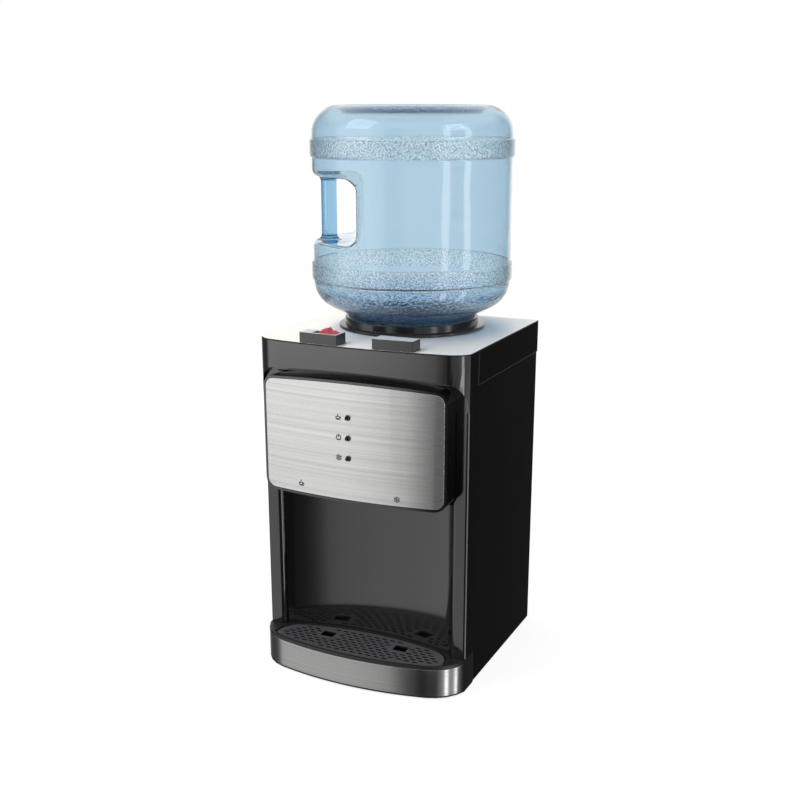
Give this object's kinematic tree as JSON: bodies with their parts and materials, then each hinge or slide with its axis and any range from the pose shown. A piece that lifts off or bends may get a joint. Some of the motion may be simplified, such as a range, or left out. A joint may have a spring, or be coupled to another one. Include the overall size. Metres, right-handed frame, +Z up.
{
  "type": "countertop water dispenser",
  "caption": "Upright black cabinet with an inverted water bottle on top, hot and cold push buttons, a bowed steel display plate and a slotted drip tray.",
  "frame": {"origin": "on the resting surface, under the middle of the bounding box", "axes": "+Z up, the front with the display faces -Y, +X is to the right of someone in front of it"},
  "size_m": [0.31, 0.3592, 0.786],
  "materials": {
    "matt_black": "satin black moulding",
    "gloss_black": "glossy black moulding",
    "black_enamel": "smooth black enamel on sheet steel",
    "brushed": "horizontally brushed stainless steel",
    "deck": "pale polished stainless steel",
    "galvanised": "plain zinc-coated steel",
    "aluminium": "extruded aluminium",
    "rubber": "matt black rubber",
    "natural": "natural translucent moulding",
    "foam": "expanded foam",
    "silicone": "translucent silicone hose",
    "lens": "dark indicator lens",
    "circuit": "green circuit board",
    "red": "red moulding",
    "green": "green moulding",
    "bottle": "clear light blue polycarbonate",
    "cap": "blue push-on cap",
    "ceramic": "white ceramic"
  },
  "bodies": {
    "cabinet": {"base_pan": "matt_black", "base_trim_band": "brushed", "foot_1": "rubber", "foot_2": "rubber", "foot_3": "rubber", "foot_4": "rubber", "front_shell": "gloss_black", "alcove_liner": "gloss_black", "head_housing": "gloss_black", "display_plate": "brushed", "indicator_lens_hot": "lens", "indicator_lens_power": "lens", "indicator_lens_cold": "lens", "indicator_board": "circuit", "hot_faucet": "natural", "cold_faucet": "natural", "hot_return_spring": "galvanised", "cold_return_spring": "galvanised", "top_cover": "gloss_black", "deck_plate": "deck", "side_panel_right": "black_enamel", "side_panel_left": "black_enamel", "rear_panel": "galvanised", "rear_screw_1": "galvanised", "rear_screw_2": "galvanised", "rear_screw_3": "galvanised", "rear_screw_4": "galvanised", "switch_block": "matt_black", "power_inlet_gland": "rubber", "drain_spigot": "natural", "power_board": "circuit", "bottle_collar": "gloss_black", "seat_funnel": "matt_black", "feed_probe": "natural", "inner_frame": "galvanised", "cold_tank": "brushed", "cold_tank_insulation": "foam", "cold_block": "aluminium", "thermoelectric_module": "ceramic", "heat_sink": "aluminium", "fan_frame": "matt_black", "hot_tank": "brushed", "heater_band": "aluminium", "cold_outlet_hose": "silicone", "hot_outlet_hose": "silicone", "hot_feed_hose": "silicone"},
    "bottle": {"water_bottle": "bottle", "bottle_cap": "cap"},
    "hot_key": {"hot_button": "gloss_black", "hot_push_rod": "natural"},
    "cold_key": {"cold_button": "gloss_black", "cold_push_rod": "natural"},
    "child_lock": {"child_lock_slider": "red"},
    "tray": {"drip_tray": "matt_black"},
    "grille": {"drip_grille": "gloss_black"},
    "fan": {"fan_rotor": "matt_black"},
    "hot_rocker": {"hot_switch": "red"},
    "cold_rocker": {"cold_switch": "green"},
    "drain_plug": {"drain_cap": "matt_black"}
  },
  "joints": [
    {"name": "bottle_lift", "type": "slide", "parent": "cabinet", "child": "bottle", "axis": [0, 0, 1], "range_m": [0, 0.12]},
    {"name": "hot_key_press", "type": "slide", "parent": "cabinet", "child": "hot_key", "axis": [0, 0, -1], "range_m": [0, 0.006], "stiffness_N_per_m": 400, "springref_m": -0.003, "deforming": ["hot_return_spring"]},
    {"name": "cold_key_press", "type": "slide", "parent": "cabinet", "child": "cold_key", "axis": [0, 0, -1], "range_m": [0, 0.006], "stiffness_N_per_m": 400, "springref_m": -0.003, "deforming": ["cold_return_spring"]},
    {"name": "child_lock_slide", "type": "slide", "parent": "hot_key", "child": "child_lock", "axis": [-1, 0, 0], "range_m": [0, 0.008]},
    {"name": "tray_lift", "type": "slide", "parent": "cabinet", "child": "tray", "axis": [0, 0, 1], "range_m": [0, 0.04]},
    {"name": "grille_lift", "type": "slide", "parent": "tray", "child": "grille", "axis": [0, 0, 1], "range_m": [0, 0.03]},
    {"name": "fan_spin", "type": "hinge", "parent": "cabinet", "child": "fan", "pos_m": [0, 0.13347, 0.3306], "axis": [0, 1, 0], "continuous": true},
    {"name": "hot_switch_rock", "type": "hinge", "parent": "cabinet", "child": "hot_rocker", "pos_m": [0.061, 0.15137, 0.096], "axis": [-1, 0, 0], "range_deg": [0, 18]},
    {"name": "cold_switch_rock", "type": "hinge", "parent": "cabinet", "child": "cold_rocker", "pos_m": [0.095, 0.15137, 0.096], "axis": [-1, 0, 0], "range_deg": [0, 18]},
    {"name": "drain_cap_pull", "type": "slide", "parent": "cabinet", "child": "drain_plug", "axis": [0, 1, 0], "range_m": [0, 0.015]}
  ]
}
